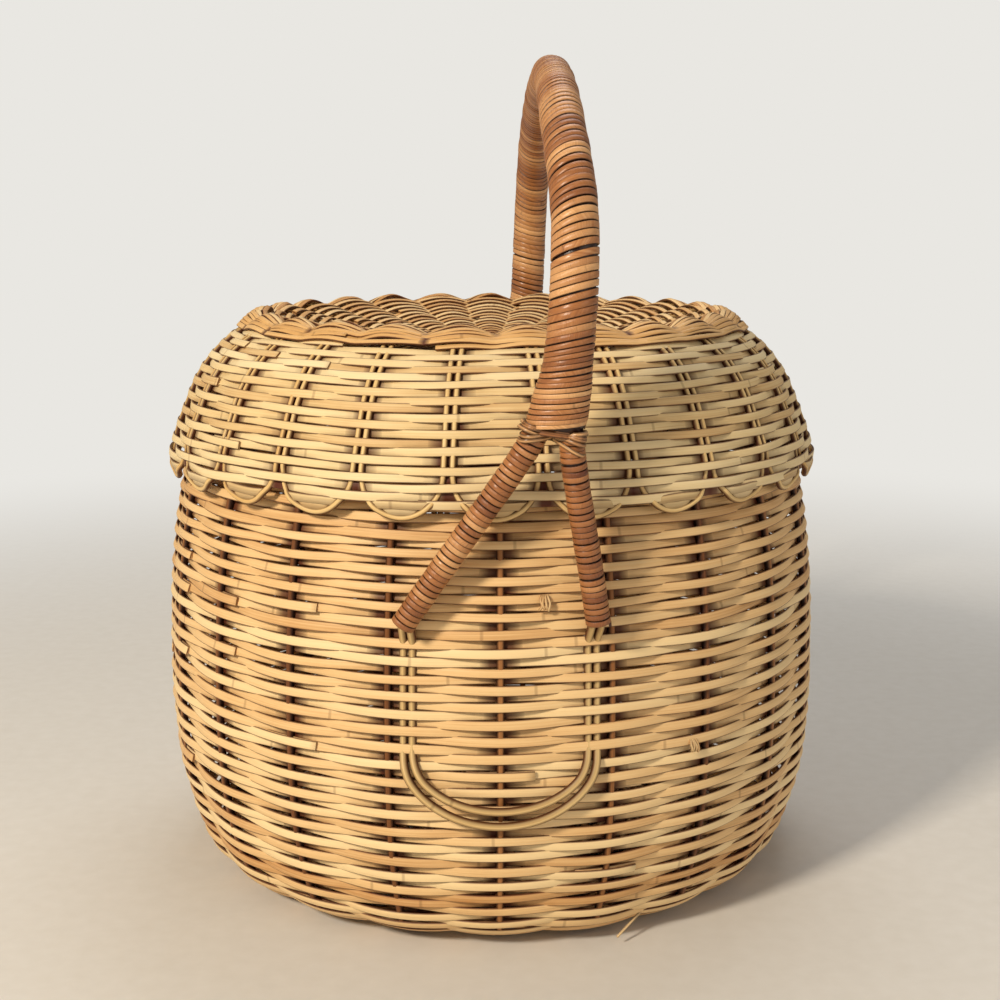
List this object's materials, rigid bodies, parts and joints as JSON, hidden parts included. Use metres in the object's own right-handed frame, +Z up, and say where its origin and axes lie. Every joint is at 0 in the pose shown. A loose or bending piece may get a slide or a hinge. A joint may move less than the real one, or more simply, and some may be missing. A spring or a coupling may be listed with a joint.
{
  "type": "lidded wicker basket",
  "caption": "Round pot-bellied wicker basket with a deep scalloped lid that lifts off and a tall arch handle bound with cane, standing in forks on the body.",
  "frame": {"origin": "centre of the round base, on the surface that the basket stands on", "axes": "+Z up; the arch handle spans along Y, from the front at -Y to the back at +Y; +X to the right seen from the front, the side that the handle leans to"},
  "size_m": [0.4003, 0.4472, 0.4799],
  "materials": {
    "body_weave": "flat golden wicker weavers, satin",
    "round_cane": "round cane, satin",
    "lid_weave": "pale straw-coloured wicker weavers, satin",
    "bound_cane": "red-brown split cane binding, glossy skin"
  },
  "bodies": {
    "basket": {"base_weave": "body_weave", "body_wall_weave": "body_weave", "body_border": "body_weave", "body_cane_01": "round_cane", "body_cane_02": "round_cane", "body_cane_03": "round_cane", "body_cane_04": "round_cane", "body_cane_05": "round_cane", "body_cane_06": "round_cane", "body_cane_07": "round_cane", "body_cane_08": "round_cane", "body_cane_09": "round_cane", "body_cane_10": "round_cane", "body_cane_11": "round_cane", "handle_core": "round_cane", "handle_wrap": "bound_cane", "front_left_leg_wrap": "bound_cane", "front_right_leg_wrap": "bound_cane", "front_loop_inner": "round_cane", "front_loop_outer": "round_cane", "front_fork_lashing": "bound_cane", "back_left_leg_wrap": "bound_cane", "back_right_leg_wrap": "bound_cane", "back_loop_inner": "round_cane", "back_loop_outer": "round_cane", "back_fork_lashing": "bound_cane"},
    "lid": {"lid_side_weave": "lid_weave", "lid_top_weave": "lid_weave", "lid_rim_roll": "lid_weave", "lid_cane_01": "lid_weave", "lid_cane_02": "lid_weave", "lid_cane_03": "lid_weave", "lid_cane_04": "lid_weave", "lid_cane_05": "lid_weave", "lid_cane_06": "lid_weave", "lid_cane_07": "lid_weave", "lid_cane_08": "lid_weave", "lid_cane_09": "lid_weave", "lid_cane_10": "lid_weave", "lid_cane_11": "lid_weave", "lid_cane_12": "lid_weave", "lid_cane_13": "lid_weave", "lid_cane_14": "lid_weave", "lid_cane_15": "lid_weave", "lid_cane_16": "lid_weave", "lid_cane_17": "lid_weave", "lid_cane_18": "lid_weave", "lid_cane_19": "lid_weave", "lid_cane_20": "lid_weave", "lid_cane_21": "lid_weave", "lid_cane_22": "lid_weave", "lid_cane_23": "lid_weave", "lid_cane_24": "lid_weave", "lid_cane_25": "lid_weave"}
  },
  "joints": [
    {"name": "lid_lift", "type": "slide", "parent": "basket", "child": "lid", "axis": [0, 0, 1], "range_m": [0, 0.08]}
  ]
}
